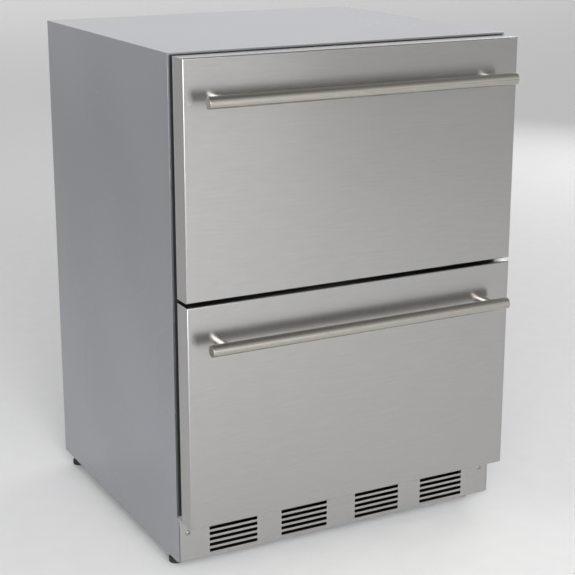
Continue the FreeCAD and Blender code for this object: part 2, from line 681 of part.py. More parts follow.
def make_fan_motors():
    """The condenser fan's motor and the evaporator fan's motor, each with its shaft."""
    front = FAN_X - 14
    condenser_can = rod(22.0, (front - 36, FAN_Y, FAN_Z), (front, FAN_Y, FAN_Z))
    condenser_shaft = rod(SHAFT_RADIUS, (front, FAN_Y, FAN_Z), (FAN_X + 7, FAN_Y, FAN_Z))
    can_front = EVAP_FAN_Y + 10
    evaporator_can = rod(18.0, (EVAP_FAN_X, can_front, EVAP_FAN_Z), (EVAP_FAN_X, CAVITY_BACK, EVAP_FAN_Z))
    evaporator_shaft = rod(SHAFT_RADIUS, (EVAP_FAN_X, EVAP_FAN_Y - 7, EVAP_FAN_Z),
                           (EVAP_FAN_X, can_front, EVAP_FAN_Z))
    return [joined([condenser_can, condenser_shaft]), joined([evaporator_can, evaporator_shaft])]


def make_evaporation_tray():
    """Shallow tray on the base pan where the defrost water evaporates."""
    x = (-60.0, 110.0)
    y = (BACK_SKIN - 145, BACK_SKIN - 20)
    outer = block(x, y, (BAY_FLOOR, BAY_FLOOR + 26))
    outer = rounded(outer, 10.0, stands_upright)
    inner = block((x[0] + 2, x[1] - 2), (y[0] + 2, y[1] - 2), (BAY_FLOOR + 2, BAY_FLOOR + 30))
    inner = rounded(inner, 8.0, stands_upright)
    return outer.cut(inner)


def make_electrical_box():
    """Closed box of the supply terminals and the control board, under the bay's roof."""
    box = block((0, 110), (BACK_SKIN - 130, BACK_SKIN - 50), (BAY_TOP - 62, BAY_TOP))
    return rounded(box, 3.0, stands_upright)


LINE_RADIUS = 3.5


def make_refrigerant_lines():
    """Discharge line, liquid line with its filter drier, and the suction line from the evaporator."""
    can_top = BAY_FLOOR + MOUNT_HEIGHT + 3 + COMPRESSOR_HEIGHT
    first_x, second_x = condenser_columns()
    tube_end = FAN_Y - CONDENSER_HALF - 2
    gap_y = BAY_FRONT + 14
    discharge = bent_tube(LINE_RADIUS, [
        (COMPRESSOR_X + 20, COMPRESSOR_Y - 20, can_top),
        (COMPRESSOR_X + 20, COMPRESSOR_Y - 20, can_top + 26),
        (COMPRESSOR_X + 20, gap_y, can_top + 26),
        (first_x, gap_y, can_top + 26),
        (first_x, gap_y, FAN_Z + 60),
        (first_x, tube_end, FAN_Z + 60)], 4.5)
    low = FAN_Z - 90
    liquid = bent_tube(LINE_RADIUS, [
        (second_x, tube_end, FAN_Z + 60),
        (second_x, gap_y, FAN_Z + 60),
        (second_x + 27, gap_y, FAN_Z + 60),
        (second_x + 27, gap_y, low),
        (0, gap_y, low)], 4.5)
    drier = rod(11.0, (-90, gap_y, low), (0, gap_y, low))
    can = rod(COMPRESSOR_RADIUS, (COMPRESSOR_X, COMPRESSOR_Y, BASE), (COMPRESSOR_X, COMPRESSOR_Y, can_top))
    suction = bent_tube(LINE_RADIUS, suction_route(), SUCTION_BEND).cut(can)
    return [discharge, liquid, drier, suction]


COIL_TUBE_RADIUS = 4.5
COIL_ROWS = 5
COIL_PITCH = 32.0
COIL_FIN = 1.0
COIL_FINS = 18
COIL_FIN_HALF_DEPTH = 17.0
COIL_FIN_MARGIN = 14.0         # how far the fins reach below the first tube and above the last


def make_evaporator_coil():
    """Finned evaporator behind its cover."""
    ends = [(side * COIL_HALF_WIDTH, COIL_Y, SUCTION_Z) for side in (-1, 1)]
    pieces = serpentine(COIL_TUBE_RADIUS, COIL_ROWS, COIL_PITCH, *ends)
    first = 10 - COIL_HALF_WIDTH
    depth = (COIL_Y - COIL_FIN_HALF_DEPTH, COIL_Y + COIL_FIN_HALF_DEPTH)
    z = (SUCTION_Z - COIL_FIN_MARGIN, SUCTION_Z + (COIL_ROWS - 1) * COIL_PITCH + COIL_FIN_MARGIN)
    for index in range(COIL_FINS):
        place = first - index * (2 * first + COIL_FIN) / (COIL_FINS - 1)
        pieces.append(block((place, place + COIL_FIN), depth, z))
    return joined(pieces)


COVER_BOTTOM = BASE + 476.0
GRILLE_RADIUS = 42.0
GRILLE_ROWS = 7
GRILLE_PITCH = 12.0
GRILLE_SLOT = 6.0
RETURN_SLOT = (36.0, 6.0)      # length and height of one return slot
RETURN_COLUMNS = 9
RETURN_PITCH = 50.0
RETURN_HEIGHTS = (23.0, 37.0)  # centre lines of the two rows above the cover's floor


def make_evaporator_cover():
    """Moulded cover in front of the evaporator, with a fan grille and return slots."""
    half = CAVITY_HALF_WIDTH
    face = block(both_sides(half), (COVER_FRONT, COVER_FRONT + LINER),
                 (COVER_BOTTOM, BASE + CAVITY_SPAN[1]))
    floor = block(both_sides(half), (COVER_FRONT, CAVITY_BACK), (COVER_BOTTOM, COVER_BOTTOM + LINER))
    through = (COVER_FRONT - 1, COVER_FRONT + LINER + 1)
    cuts = []
    for row in range(GRILLE_ROWS):
        rise = (row - (GRILLE_ROWS - 1) / 2) * GRILLE_PITCH
        reach = math.sqrt(GRILLE_RADIUS ** 2 - rise ** 2)
        height = EVAP_FAN_Z + rise
        cuts.append(block((EVAP_FAN_X - reach, EVAP_FAN_X + reach), through,
                          (height - GRILLE_SLOT / 2, height + GRILLE_SLOT / 2)))
    long, high = RETURN_SLOT
    for column in range(RETURN_COLUMNS):
        centre = (column - (RETURN_COLUMNS - 1) / 2) * RETURN_PITCH
        for rise in RETURN_HEIGHTS:
            height = COVER_BOTTOM + rise
            cuts.append(block((centre - long / 2, centre + long / 2), through,
                              (height - high / 2, height + high / 2)))
    return less(joined([face, floor]), cuts)


# ---- Slides ---------------------------------------------------------------------------------------

RAIL_SHEET = 1.2
BRACKET_ARM_HALF = 12.0
BRACKET_FLAG = (24.0, 22.0, 1.5)   # width, half height and sheet of the plate behind the drawer's front
BALL_RADIUS = 2.0
OUTER_BALL = (6.5, 19.575)     # distance from the liner's wall, height from the slide's centre line
INNER_BALL = (8.0, 14.225)
BALLS_PER_ROW = 5


def channel(length, centre_z, web, flange, heights, slide_start):
    """A C-section rail: web and flange span from the liner's wall, heights are the flange's faces."""
    y = (slide_start, slide_start + length)
    wall = CAVITY_HALF_WIDTH
    low, high = heights
    back = block((wall - web[1], wall - web[0]), y, (centre_z - high, centre_z + high))
    upper = block((wall - flange[1], wall - flange[0]), y, (centre_z + low, centre_z + high))
    lower = block((wall - flange[1], wall - flange[0]), y, (centre_z - high, centre_z - low))
    return joined([back, upper, lower])


def make_slide_outer(length, centre_z):
    return channel(length, centre_z, (0, 1.2), (0, 9.0), (21.65, 22.85), FRONT + SLIDE_SETBACK)


def make_slide_middle(length, centre_z):
    return channel(length, centre_z, (3.5, 4.7), (3.5, 11.0), (16.3, 17.5), FRONT + SLIDE_SETBACK)


def make_slide_inner(length, centre_z):
    """Inner rail with the welded bracket that carries the drawer's front."""
    rail = channel(length, centre_z, (11.5, 12.7), (6.0, 12.7), (10.95, 12.15), FRONT + SLIDE_SETBACK)
    inner_face = CAVITY_HALF_WIDTH - SLIDE_THICKNESS
    outer_face = inner_face + RAIL_SHEET
    plate_width, plate_half_height, plate_sheet = BRACKET_FLAG
    arm = block((inner_face, outer_face), (DRAWER_BACK, FRONT + SLIDE_SETBACK),
                (centre_z - BRACKET_ARM_HALF, centre_z + BRACKET_ARM_HALF))
    plate = block((inner_face - plate_width, outer_face), (DRAWER_BACK, DRAWER_BACK + plate_sheet),
                  (centre_z - plate_half_height, centre_z + plate_half_height))
    return joined([rail, arm, plate])


def make_cage(length, centre_z, ball, web, arm_reach):
    """Ball cage with its two rows of balls; returns the cage and the balls as separate solids."""
    start = FRONT + SLIDE_SETBACK + length / 4
    y = (start, start + length / 2)
    wall = CAVITY_HALF_WIDTH
    arm = 0.4
    back = block((wall - web[1], wall - web[0]), y, (centre_z - ball[1] - arm, centre_z + ball[1] + arm))
    arms = [block((wall - arm_reach, wall - web[0]), y, (height - arm, height + arm))
            for height in (centre_z - ball[1], centre_z + ball[1])]
    pitch = (length / 2 - 20) / (BALLS_PER_ROW - 1)
    places = [(wall - ball[0], start + 10 + index * pitch, centre_z + s * ball[1])
              for index in range(BALLS_PER_ROW) for s in (-1, 1)]
    holes = [rod(BALL_RADIUS + 0.05, (px, py, pz - 1), (px, py, pz + 1)) for px, py, pz in places]
    cage = joined([back] + arms).cut(Part.makeCompound(holes))
    balls = [Part.makeSphere(BALL_RADIUS, Vector(*place)) for place in places]
    return [cage] + balls


def make_cage_outer(length, centre_z):
    return make_cage(length, centre_z, OUTER_BALL, (1.8, 2.9), 9.3)


def make_cage_inner(length, centre_z):
    return make_cage(length, centre_z, INNER_BALL, (5.0, 5.6), 10.5)


# ---- Drawers --------------------------------------------------------------------------------------

GASKET_INSET = 8.0
GASKET_WIDTH = 14.0
GASKET_CLEARANCE = 0.3
INNER_PANEL = 3.0
BEND_RADIUS = 2.5


def front_pan(span, inset, radius):
    """The drawer front's outer or inner envelope, softened along its four front edges."""
    half = DRAWER_WIDTH / 2 - inset
    z = (BASE + span[0] + inset, BASE + span[1] - inset)
    body = block(both_sides(half), (DRAWER_FACE + inset, DRAWER_BACK), z)
    return rounded(body, radius, lies_in_y(DRAWER_FACE + inset))


def make_skin(span):
    """Stainless pan that forms the drawer's face and its four returns."""
    return front_pan(span, 0, BEND_RADIUS).cut(front_pan(span, SHEET, BEND_RADIUS - SHEET))


def make_front_foam(span):
    """Insulation inside the drawer's front."""
    keep = block(both_sides(HALF), (DRAWER_FACE, DRAWER_BACK - INNER_PANEL), (BASE, TOP))
    return front_pan(span, SHEET, BEND_RADIUS - SHEET).common(keep)


def make_inner_panel(span):
    """Inner panel that closes the drawer's front."""
    half = DRAWER_WIDTH / 2 - SHEET
    return block(both_sides(half), (DRAWER_BACK - INNER_PANEL, DRAWER_BACK),
                 (BASE + span[0] + SHEET, BASE + span[1] - SHEET))


def gasket_ring(span, inset, width, y):
    half = DRAWER_WIDTH / 2 - inset
    low = BASE + span[0] + inset
    high = BASE + span[1] - inset
    return ring((half, low, high), (half - width, low + width, high - width), y)


def make_gasket(span):
    """Magnetic gasket: a flat base strip and a narrower bulb."""
    step = DRAWER_BACK + 3.0
    base = gasket_ring(span, GASKET_INSET, GASKET_WIDTH, (DRAWER_BACK, step))
    bulb = gasket_ring(span, GASKET_INSET + 2, GASKET_WIDTH - 4, (step, FRONT - GASKET_CLEARANCE))
    return joined([base, bulb])


def make_handle_bar(span):
    """Round bar handle with softened ends."""
    z = BASE + span[1] - BAR_BELOW_TOP
    bar = rod(BAR_RADIUS, (-BAR_LENGTH / 2, BAR_Y, z), (BAR_LENGTH / 2, BAR_Y, z))
    return bar.makeChamfer(0.8, [edge for edge in bar.Edges if edge.Closed])


def make_handle_posts(span, bar):
    """Two posts that carry the bar, coped to its round."""
    z = BASE + span[1] - BAR_BELOW_TOP
    posts = [rod(POST_RADIUS, (x, BAR_Y, z), (x, DRAWER_FACE, z))
             for x in (-POST_SPACING / 2, POST_SPACING / 2)]
    return [post.cut(bar) for post in posts]


TUB_CORNER = 14.0
TUB_FLOOR_RADIUS = 8.0
TUB_RIM_REACH = 5.0
TUB_RIM_HEIGHT = 6.0
TUB_SETBACK = 8.0


def make_tub(height_span, depth):
    """Open steel tub with a turned rim."""
    half = CAVITY_HALF_WIDTH - SLIDE_THICKNESS
    y = (FRONT + TUB_SETBACK, FRONT + TUB_SETBACK + depth)
    z = (BASE + height_span[0], BASE + height_span[1])
    outer = rounded(block(both_sides(half), y, z), TUB_CORNER, stands_upright)
    outer = rounded(outer, TUB_FLOOR_RADIUS, lies_in_z(z[0]))
    inner = block(both_sides(half - TUB_SHEET), (y[0] + TUB_SHEET, y[1] - TUB_SHEET),
                  (z[0] + TUB_SHEET, z[1] + 10))
    inner = rounded(inner, TUB_CORNER - TUB_SHEET, stands_upright)
    inner = rounded(inner, TUB_FLOOR_RADIUS - TUB_SHEET, lies_in_z(z[0] + TUB_SHEET))
    rim = block(both_sides(half + TUB_RIM_REACH), (y[0] - TUB_RIM_REACH, y[1] + TUB_RIM_REACH),
                (z[1] - TUB_RIM_HEIGHT, z[1]))
    rim = rounded(rim, TUB_CORNER + TUB_RIM_REACH, stands_upright)
    return joined([outer, rim]).cut(inner)


# ---- Build ----------------------------------------------------------------------------------------

left_side = save("left_side_panel", make_side_panel())
right_side = save("right_side_panel", mirrored(left_side))
save("top_panel", make_top_panel())
save("counter_bracket_plates", *make_bracket_plates())
save("back_panel", make_back_panel())
save("machine_cover", make_machine_cover())
save("power_cord_gland", make_cord_gland())
save("panel_screws", *[pan_head_screw(seat, (0, 1, 0)) for seat in rear_seats],
     *[pan_head_screw(seat, (0, -1, 0)) for seat in kick_screw_seats])

save("base_pan", make_base_pan())
insulation_pan = save("insulation_pan", make_insulation_pan())
save("kick_plate", make_kick_plate())
for foot_name, place in FOOT_PLACES.items():
    save(foot_name, make_foot(*place))

save("inner_liner", make_inner_liner())
save("front_frame", make_front_frame())
save("mullion", make_mullion())
save("interior_lamps", *make_lamps())
save("control_housing", make_control_housing())
save("control_display", display_block(0))
for button_name, button_x in BUTTON_PLACES.items():
    save(button_name, make_button(button_x))

save("compressor", *make_compressor())
save("compressor_mounts", *make_compressor_mounts())
save("condenser_coil", make_condenser())
save("condenser_fan_shroud", make_fan_shroud())
save("condenser_fan_blades", fan_wheel((FAN_X, FAN_Y, FAN_Z), "x", 57.0, 16.0, 14.0, 5, SHAFT_RADIUS))
save("evaporator_fan_blades",
     fan_wheel((EVAP_FAN_X, EVAP_FAN_Y, EVAP_FAN_Z), "y", 38.0, 12.0, 12.0, 5, SHAFT_RADIUS))
save("fan_motors", *make_fan_motors())
save("evaporation_tray", make_evaporation_tray())
save("electrical_box", make_electrical_box())
save("refrigerant_lines", *make_refrigerant_lines())
save("evaporator_coil", make_evaporator_coil())
save("evaporator_cover", make_evaporator_cover())

save("cabinet_foam", make_foam([left_side, right_side, insulation_pan, control_block(), suction_hole()]
                               + nut_pockets() + screw_holes(back_screw_seats)))

outer_rails = []
for drawer, span, tub_span, slide_length, slide_height in (
        ("upper", UPPER_FRONT_SPAN, UPPER_TUB_SPAN, UPPER_SLIDE_LENGTH, UPPER_SLIDE_HEIGHT),
        ("lower", LOWER_FRONT_SPAN, LOWER_TUB_SPAN, LOWER_SLIDE_LENGTH, LOWER_SLIDE_HEIGHT)):
    centre = BASE + slide_height
    outer_rail = make_slide_outer(slide_length, centre)
    outer_rails.extend([outer_rail, mirrored(outer_rail)])
    for piece, maker in (("slide_middle", make_slide_middle), ("slide_inner", make_slide_inner)):
        member = maker(slide_length, centre)
        save(drawer + "_" + piece, member, mirrored(member))
    for piece, maker in (("cage_outer", make_cage_outer), ("cage_inner", make_cage_inner)):
        solids = maker(slide_length, centre)
        save(drawer + "_" + piece, *solids, *[mirrored(solid) for solid in solids])
    save(drawer + "_drawer_skin", make_skin(span))
    save(drawer + "_drawer_foam", make_front_foam(span))
    save(drawer + "_inner_panel", make_inner_panel(span))
    save(drawer + "_gasket", make_gasket(span))
    bar_solid = save(drawer + "_handle_bar", make_handle_bar(span))
    save(drawer + "_handle_posts", *make_handle_posts(span, bar_solid))
    save(drawer + "_tub", make_tub(tub_span, slide_length - 4))
save("slide_outer_members", *outer_rails)
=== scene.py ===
# %% [markdown]
# # Under-counter refrigerator with two drawers
# The engineering model is loaded first and stays where it is: it is the frame that every piece below is
# fitted to. Each visible piece is then remade with the soft edges and the finish that it has on the real
# appliance, and each hidden piece keeps its shape and gets the material it is made of.

# %% Load the frame
import json
import math

import bmesh
import bpy
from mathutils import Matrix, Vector


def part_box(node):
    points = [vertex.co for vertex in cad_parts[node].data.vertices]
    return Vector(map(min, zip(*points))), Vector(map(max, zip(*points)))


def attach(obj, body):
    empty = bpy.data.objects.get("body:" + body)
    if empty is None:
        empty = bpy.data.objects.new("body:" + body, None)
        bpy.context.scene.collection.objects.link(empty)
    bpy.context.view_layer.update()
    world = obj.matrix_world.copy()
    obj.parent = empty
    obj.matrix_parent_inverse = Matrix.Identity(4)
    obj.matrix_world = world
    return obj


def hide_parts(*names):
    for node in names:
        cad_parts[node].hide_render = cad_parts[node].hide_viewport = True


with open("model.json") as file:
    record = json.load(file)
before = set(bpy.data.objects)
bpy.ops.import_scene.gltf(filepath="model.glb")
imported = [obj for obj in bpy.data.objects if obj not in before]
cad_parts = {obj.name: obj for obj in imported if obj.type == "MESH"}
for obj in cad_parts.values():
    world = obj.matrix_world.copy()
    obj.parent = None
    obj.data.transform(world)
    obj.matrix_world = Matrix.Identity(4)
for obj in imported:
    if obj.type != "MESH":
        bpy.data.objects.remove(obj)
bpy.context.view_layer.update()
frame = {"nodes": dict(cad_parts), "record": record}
MM = 0.001

# %% [markdown]
# ## Helpers for modelling
# Every piece is made the way it is made by hand: add a primitive, go into edit mode, pick faces or edges,
# run an operator. An operator works on whatever is selected, so each helper first clears the selection
# and then picks by place or by direction.

# %% Helpers for modelling
FACING = 0.99
MERGE_DISTANCE = 0.005 * MM


def alone(piece):
    """Selects one object and makes it active."""
    bpy.ops.object.select_all(action="DESELECT")
    piece.select_set(True)
    bpy.context.view_layer.objects.active = piece
    return piece


def primitive(name, kind, **settings):
    """Adds a mesh primitive, for example a cube or a cylinder, as a named piece."""
    stretch = settings.pop("scale", (1, 1, 1))
    bpy.ops.object.select_all(action="DESELECT")
    getattr(bpy.ops.mesh, "primitive_" + kind + "_add")(**settings)
    piece = bpy.context.active_object
    piece.name = name
    piece.data.name = name
    piece.scale = stretch
    bpy.ops.object.transform_apply(location=True, rotation=True, scale=True)
    return piece


def box_piece(name, low, high):
    """A cube stretched between two corners."""
    low, high = Vector(low), Vector(high)
    return primitive(name, "cube", size=1, location=(low + high) / 2, scale=high - low)


def pick(piece, wanted, kind="FACE"):
    """In edit mode, selects the faces, edges or points that pass the test, and returns how many."""
    bpy.ops.mesh.select_mode(type=kind)
    bpy.ops.mesh.select_all(action="DESELECT")
    mesh = bmesh.from_edit_mesh(piece.data)
    parts = {"FACE": mesh.faces, "EDGE": mesh.edges, "VERT": mesh.verts}[kind]
    found = [part for part in parts if wanted(part)]
    for part in found:
        part.select_set(True)
    mesh.select_flush_mode()
    bmesh.update_edit_mesh(piece.data)
    return len(found)


def middle(part):
    """The centre of an edge or a face."""
    corners = [v.co for v in part.verts]
    return sum(corners, Vector()) / len(corners)


def faces_toward(direction):
    """A test for faces that point the given way."""
    way = Vector(direction)
    return lambda face: face.normal.dot(way) > FACING


def edit(piece):
    """Goes into edit mode on one piece."""
    alone(piece)
    bpy.ops.object.mode_set(mode="EDIT")


def done():
    """Leaves edit mode."""
    bpy.ops.object.mode_set(mode="OBJECT")


def modified(piece, kind, **settings):
    """Adds one modifier with its settings and applies it."""
    alone(piece)
    modifier = piece.modifiers.new(kind.lower(), kind)
    for setting, value in settings.items():
        setattr(modifier, setting, value)
    bpy.ops.object.modifier_apply(modifier=modifier.name)
    return piece


def soft_edges(piece, width, segments=2, angle=30):
    """Rounds every sharp edge by a small radius, as sheet metal and mouldings have."""
    return modified(piece, "BEVEL", width=width, segments=segments, limit_method="ANGLE",
                    angle_limit=math.radians(angle), harden_normals=False)


def copy_of(piece, name, shift=(0, 0, 0)):
    """A copy with a mesh of its own, moved in its mesh."""
    twin = piece.copy()
    twin.data = piece.data.copy()
    twin.name = name
    twin.data.name = name
    bpy.context.scene.collection.objects.link(twin)
    alone(twin)
    bpy.ops.transform.translate(value=shift)
    bpy.ops.object.transform_apply(location=True, rotation=True, scale=True)
    return twin


def cad_copy(node, name):
    """A merged copy of an engineering node, ready to be softened."""
    source = frame["nodes"][node]
    piece = bpy.data.objects.new(name, source.data.copy())
    piece.data.name = name
    bpy.context.scene.collection.objects.link(piece)
    edit(piece)
    bpy.ops.mesh.select_all(action="SELECT")
    bpy.ops.mesh.remove_doubles(threshold=MERGE_DISTANCE)
    bpy.ops.mesh.dissolve_limited(angle_limit=math.radians(1))
    done()
    return piece


def finish_piece(piece, material, body, slot, *nodes, angle=30):
    """Smooths, paints and mounts a piece, and lets it stand for its engineering nodes."""
    alone(piece)
    bpy.ops.object.shade_smooth_by_angle(angle=math.radians(angle))
    modified(piece, "WEIGHTED_NORMAL", keep_sharp=True)
    piece.data.materials.clear()
    piece.data.materials.append(material)
    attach(piece, body)
    if nodes:
        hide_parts(*nodes)
    size = [round(v / MM, 1) for v in piece.dimensions]
    print(piece.name, "size in mm", size, "faces", len(piece.data.polygons))
    return piece


def second_finish(piece, material, wanted):
    """Gives the wanted faces of a finished piece another material."""
    piece.data.materials.append(material)
    edit(piece)
    print("  ", piece.name, "faces in", material.name, pick(piece, wanted))
    piece.active_material_index = 1
    bpy.ops.object.material_slot_assign()
    done()

# %% [markdown]
# ## Helpers for materials
# Colours are written as sRGB hex values, as a colour picker shows them, and Blender wants linear light,
# so one function converts them. One more adds a node with its settings and links, and a third starts
# an empty material.

# %% Helpers for materials
def linear(hex_colour):
    """An sRGB hex colour as linear RGBA."""
    channels = [int(hex_colour[k:k + 2], 16) / 255 for k in (1, 3, 5)]
    return [c / 12.92 if c <= 0.04045 else ((c + 0.055) / 1.055) ** 2.4 for c in channels] + [1.0]


def add_node(tree, kind, inputs=None, links=None, **settings):
    """Adds one node: settings are its own options, inputs are values, links come from other sockets."""
    node = tree.nodes.new("ShaderNode" + kind)
    for setting, value in settings.items():
        setattr(node, setting, value)
    for socket, value in (inputs or {}).items():
        node.inputs[socket].default_value = value
    for socket, source in (links or {}).items():
        tree.links.new(source, node.inputs[socket])
    return node


def new_material(name):
    """An empty node material; returns it with its tree, its output and the object's own coordinates."""
    material = bpy.data.materials.new(name)
    material.use_nodes = True
    tree = material.node_tree
    tree.nodes.clear()
    output = add_node(tree, "OutputMaterial")
    place = add_node(tree, "TexCoord").outputs["Object"]
    return material, tree, output, place

# %% [markdown]
# ## Brushed stainless steel of the drawer fronts
# Drawer fronts of this class are AISI 430 sheet with a number 4 finish: abrasive belts leave fine
# scratches that all run the same way, here from side to side. The scratches spread reflections across
# the grain, so a highlight becomes tall and soft, and that is what the anisotropy does. The scratches
# are about 0.1 mm apart and up to 60 mm long; they are drawn about 0.9 mm apart, so that they show.

# %% Brushed stainless steel
def brushed_stainless(name, light, dark, grain, roughness, anisotropy, rotation, depth):
    """Stainless sheet; grain is the number of scratches per metre along x, y and z."""
    material, tree, output, place = new_material(name)
    along_grain = add_node(tree, "Mapping", {"Scale": grain}, {"Vector": place})
    scratches = add_node(tree, "TexNoise", {"Scale": 1.0, "Detail": 3.0, "Roughness": 0.6},
                         {"Vector": along_grain.outputs["Vector"]})
    broad = add_node(tree, "TexNoise", {"Scale": 3.2, "Detail": 2.0, "Roughness": 0.5}, {"Vector": place})
    tint = add_node(tree, "ValToRGB", links={"Fac": scratches.outputs["Fac"]})
    tint.color_ramp.elements[0].position = 0.3
    tint.color_ramp.elements[0].color = linear(dark)
    tint.color_ramp.elements[1].position = 0.7
    tint.color_ramp.elements[1].color = linear(light)
    gloss = add_node(tree, "MapRange", {"To Min": roughness - 0.03, "To Max": roughness + 0.05},
                     {"Value": broad.outputs["Fac"]})
    tangent = add_node(tree, "Tangent", direction_type="RADIAL", axis="Z")
    relief = add_node(tree, "Bump", {"Strength": 0.25, "Distance": depth},
                      {"Height": scratches.outputs["Fac"]})
    steel = add_node(tree, "BsdfPrincipled",
                     {"Metallic": 1.0, "Anisotropic": anisotropy, "Anisotropic Rotation": rotation},
                     {"Base Color": tint.outputs["Color"], "Roughness": gloss.outputs["Result"],
                      "Tangent": tangent.outputs["Tangent"], "Normal": relief.outputs["Normal"]})
    tree.links.new(steel.outputs["BSDF"], output.inputs["Surface"])
    return material


GRAIN_ACROSS = (22.0, 500.0, 1500.0)
drawer_steel = brushed_stainless("stainless_430_brushed_across", "#B4B3B1", "#ABAAA8",
                                 GRAIN_ACROSS, 0.24, 0.7, 0.25, 0.01 * MM)
kick_steel = brushed_stainless("stainless_430_brushed_kick", "#B7B5B3", "#AFADAB",
                               GRAIN_ACROSS, 0.28, 0.5, 0.25, 0.01 * MM)
tub_steel = brushed_stainless("stainless_304_drawn_tub", "#C4C5C6", "#B5B6B8",
                              (30.0, 30.0, 900.0), 0.28, 0.3, 0.25, 0.02 * MM)

# %% [markdown]
# ## Satin stainless steel of the wrapper
# The wrapper is the same steel with a finer, cooler satin: the scratches are too short and too fine to
# read as lines, so the sheet looks even, slightly bluish and a little duller than the fronts.

# %% Satin stainless steel
def satin_stainless(name, light, dark, roughness):
    """Stainless sheet with a fine satin that has no clear direction."""
    material, tree, output, place = new_material(name)
    fine = add_node(tree, "TexNoise", {"Scale": 900.0, "Detail": 2.0}, {"Vector": place})
    broad = add_node(tree, "TexNoise", {"Scale": 4.0, "Detail": 0.0}, {"Vector": place})
    mixed = add_node(tree, "Math", {1: 0.5}, {0: fine.outputs["Fac"], 2: broad.outputs["Fac"]},
                     operation="MULTIPLY_ADD")
    tint = add_node(tree, "ValToRGB", links={"Fac": mixed.outputs["Value"]})
    tint.color_ramp.elements[0].position = 0.55
    tint.color_ramp.elements[0].color = linear(dark)
    tint.color_ramp.elements[1].position = 0.95
    tint.color_ramp.elements[1].color = linear(light)
    gloss = add_node(tree, "MapRange", {"To Min": roughness - 0.04, "To Max": roughness + 0.04},
                     {"Value": broad.outputs["Fac"]})
    relief = add_node(tree, "Bump", {"Strength": 0.15, "Distance": 0.02 * MM},
                      {"Height": fine.outputs["Fac"]})
    steel = add_node(tree, "BsdfPrincipled", {"Metallic": 1.0},
                     {"Base Color": tint.outputs["Color"], "Roughness": gloss.outputs["Result"],
                      "Normal": relief.outputs["Normal"]})
    tree.links.new(steel.outputs["BSDF"], output.inputs["Surface"])
    return material


wrapper_steel = satin_stainless("stainless_430_satin", "#A8A9B0", "#A1A2A8", 0.28)

# %% [markdown]
# ## Plain materials of the other parts
# Each starts from a typical value for the real material: moulded plastics are dielectrics with an index
# of refraction of about 1.46 to 1.5 and a fine moulded grain, plated and bare metals are metallic with
# a little unevenness, and rubber and vinyl are dull. One function mixes two close colours in cells of a
# real size and adds a relief of the same size.

# %% Plain materials
def speckled(name, light, dark, spot_mm, roughness, metallic=0.0, relief_mm=0.02, cells=False, spread=0.06):
    """A material with spots of two close colours; spot_mm is the size of one spot on the real part."""
    material, tree, output, place = new_material(name)
    per_metre = 1.0 / (spot_mm * MM)
    if cells:
        spots = add_node(tree, "TexVoronoi", {"Scale": per_metre, "Randomness": 1.0}, {"Vector": place})
        height = add_node(tree, "SeparateColor", links={"Color": spots.outputs["Color"]}).outputs["Red"]
    else:
        spots = add_node(tree, "TexNoise", {"Scale": per_metre, "Detail": 3.0}, {"Vector": place})
        height = spots.outputs["Fac"]
    tint = add_node(tree, "ValToRGB", links={"Fac": height})
    tint.color_ramp.elements[0].position = 0.25
    tint.color_ramp.elements[0].color = linear(dark)
    tint.color_ramp.elements[1].position = 0.75
    tint.color_ramp.elements[1].color = linear(light)
    gloss = add_node(tree, "MapRange", {"To Min": roughness - spread / 2, "To Max": roughness + spread / 2},
                     {"Value": height})
    relief = add_node(tree, "Bump", {"Strength": 0.3, "Distance": relief_mm * MM}, {"Height": height})
    surface = add_node(tree, "BsdfPrincipled", {"Metallic": metallic},
                       {"Base Color": tint.outputs["Color"], "Roughness": gloss.outputs["Result"],
                        "Normal": relief.outputs["Normal"]})
    tree.links.new(surface.outputs["BSDF"], output.inputs["Surface"])
    return material


handle_steel = speckled("stainless_304_turned", "#B8B3AD", "#ABA6A0", 1.5, 0.24, metallic=1.0)
# painted shade: a darker, rougher copy of the handle steel for the flat bar ends; the higher roughness is
# the real end face, and the darker colour is painted shade
shaded_end_steel = speckled("stainless_304_end_painted_shade", "#84807B", "#76726E", 1.0, 0.45, metallic=1.0)
galvanised = speckled("galvanised_steel_spangle", "#AEB2B5", "#A5A9AD", 9.0, 0.42, metallic=1.0, cells=True)
zinc_plate = speckled("bright_zinc_plate", "#C9CCCF", "#BABEC2", 3.0, 0.30, metallic=1.0)
screw_plate = speckled("nickel_plated_screw", "#A9A7A3", "#9B9995", 1.0, 0.30, metallic=1.0)
foam = speckled("rigid_polyurethane_foam", "#D9C98F", "#C4B27A", 0.8, 0.9, relief_mm=0.3)
liner_plastic = speckled("thermoformed_polystyrene_light_grey", "#D9DBDC", "#D2D4D6", 1.2, 0.38)
black_plastic = speckled("moulded_abs_black", "#1D1D1F", "#161618", 0.8, 0.5)
# painted shade: a near-black sheet for the duct behind the kick plate, where there is only shade
painted_shade_black = speckled("painted_shade_black_sheet", "#0D0D0E", "#080809", 1.5, 0.55)
gasket_vinyl = speckled("soft_vinyl_black", "#1A1A1C", "#121214", 0.6, 0.6)
rubber = speckled("moulded_rubber", "#202021", "#171718", 0.7, 0.75)
black_enamel = speckled("stoved_black_enamel", "#17171A", "#101013", 2.0, 0.25, relief_mm=0.04)
copper = speckled("drawn_copper_tube", "#C98A63", "#A9694A", 6.0, 0.28, metallic=1.0)
aluminium = speckled("mill_finish_aluminium", "#D3D5D8", "#C3C6C9", 2.5, 0.34, metallic=1.0)
opal = speckled("opal_polycarbonate", "#F2F1EA", "#E9E8E0", 2.0, 0.35)
display_glass = speckled("tinted_acrylic", "#0E0F14", "#08090C", 4.0, 0.08, relief_mm=0.0)
grey_plastic = speckled("moulded_polypropylene_grey", "#6B6E71", "#5F6265", 0.8, 0.48)

